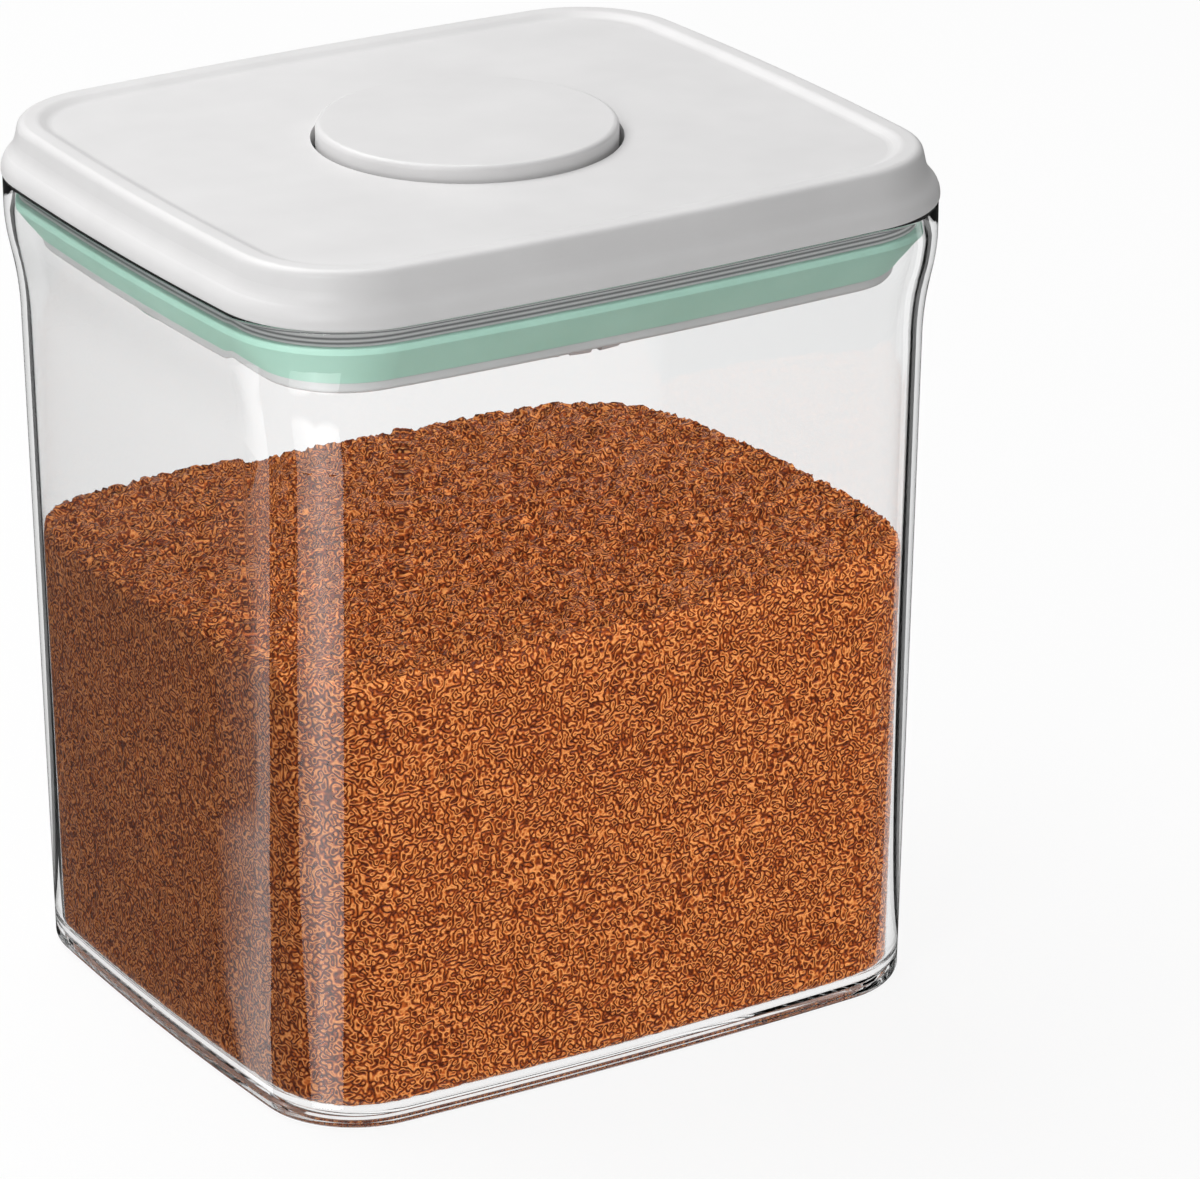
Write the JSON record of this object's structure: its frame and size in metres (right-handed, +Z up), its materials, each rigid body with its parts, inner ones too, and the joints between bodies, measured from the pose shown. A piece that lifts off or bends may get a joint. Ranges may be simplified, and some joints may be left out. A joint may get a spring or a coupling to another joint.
{
  "type": "brown sugar keeper",
  "caption": "Clear bowed-side canister with a push-button airtight lid, a damp terracotta disc in a slotted cage and a dosing scoop clipped under the lid.",
  "frame": {"origin": "bottom centre of the canister, on the plane of its foot ring", "axes": "+Z up to the lid, +X along the wide side to the right, -Y the front (long) face"},
  "size_m": [0.171, 0.1502, 0.193],
  "materials": {
    "clear_plastic": "clear, polished",
    "lid_white": "fine satin",
    "plate_grey": "fine satin",
    "cage_grey": "satin gloss",
    "mint_rubber": "soft satin silicone",
    "mint_plastic": "satin gloss",
    "terracotta": "matt, unglazed",
    "inner_white": "moulded",
    "inner_grey": "moulded",
    "steel": "plain drawn"
  },
  "bodies": {
    "canister": {"canister": "clear_plastic"},
    "lid": {"lid_cover": "lid_white", "base_plate": "plate_grey", "gasket": "mint_rubber", "pusher_retainer": "inner_grey", "scoop_clip": "mint_plastic", "button_spring": "steel", "latch_wire": "steel", "wire_keeper": "inner_white", "keeper_screw": "steel"},
    "button": {"button_cap": "lid_white", "plunger": "inner_white", "plunger_screw": "steel"},
    "pusher_right": {"pusher_right": "inner_grey"},
    "pusher_back": {"pusher_back": "inner_grey"},
    "pusher_left": {"pusher_left": "inner_grey"},
    "pusher_front": {"pusher_front": "inner_grey"},
    "cage": {"vent_cage": "cage_grey", "terracotta_disc": "terracotta"},
    "scoop": {"scoop": "mint_plastic"}
  },
  "joints": [
    {"name": "lid_lift", "type": "slide", "parent": "canister", "child": "lid", "axis": [0, 0, 1], "range_m": [0, 0.1]},
    {"name": "button_press", "type": "slide", "parent": "lid", "child": "button", "axis": [0, 0, 1], "range_m": [-0.0012, 0.012], "deforming": ["button_spring", "latch_wire"]},
    {"name": "pusher_right_slide", "type": "slide", "parent": "lid", "child": "pusher_right", "axis": [1, 0, 0], "range_m": [-0.0021, 0.0003]},
    {"name": "pusher_back_slide", "type": "slide", "parent": "lid", "child": "pusher_back", "axis": [0, 1, 0], "range_m": [-0.0021, 0.0003]},
    {"name": "pusher_left_slide", "type": "slide", "parent": "lid", "child": "pusher_left", "axis": [-1, 0, 0], "range_m": [-0.0021, 0.0003]},
    {"name": "pusher_front_slide", "type": "slide", "parent": "lid", "child": "pusher_front", "axis": [0, -1, 0], "range_m": [-0.0021, 0.0003]},
    {"name": "cage_twist", "type": "hinge", "parent": "lid", "child": "cage", "pos_m": [0.002, -0.01352, 0.158], "axis": [0, 0, 1], "range_deg": [0, 20]},
    {"name": "scoop_slide", "type": "slide", "parent": "lid", "child": "scoop", "axis": [0.9992, 0.0401, 0], "range_m": [0, 0.025]}
  ],
  "couplings": [
    {"joint": "pusher_right_slide", "follows": "button_press", "ratio": -0.16667},
    {"joint": "pusher_back_slide", "follows": "button_press", "ratio": -0.16667},
    {"joint": "pusher_left_slide", "follows": "button_press", "ratio": -0.16667},
    {"joint": "pusher_front_slide", "follows": "button_press", "ratio": -0.16667}
  ]
}
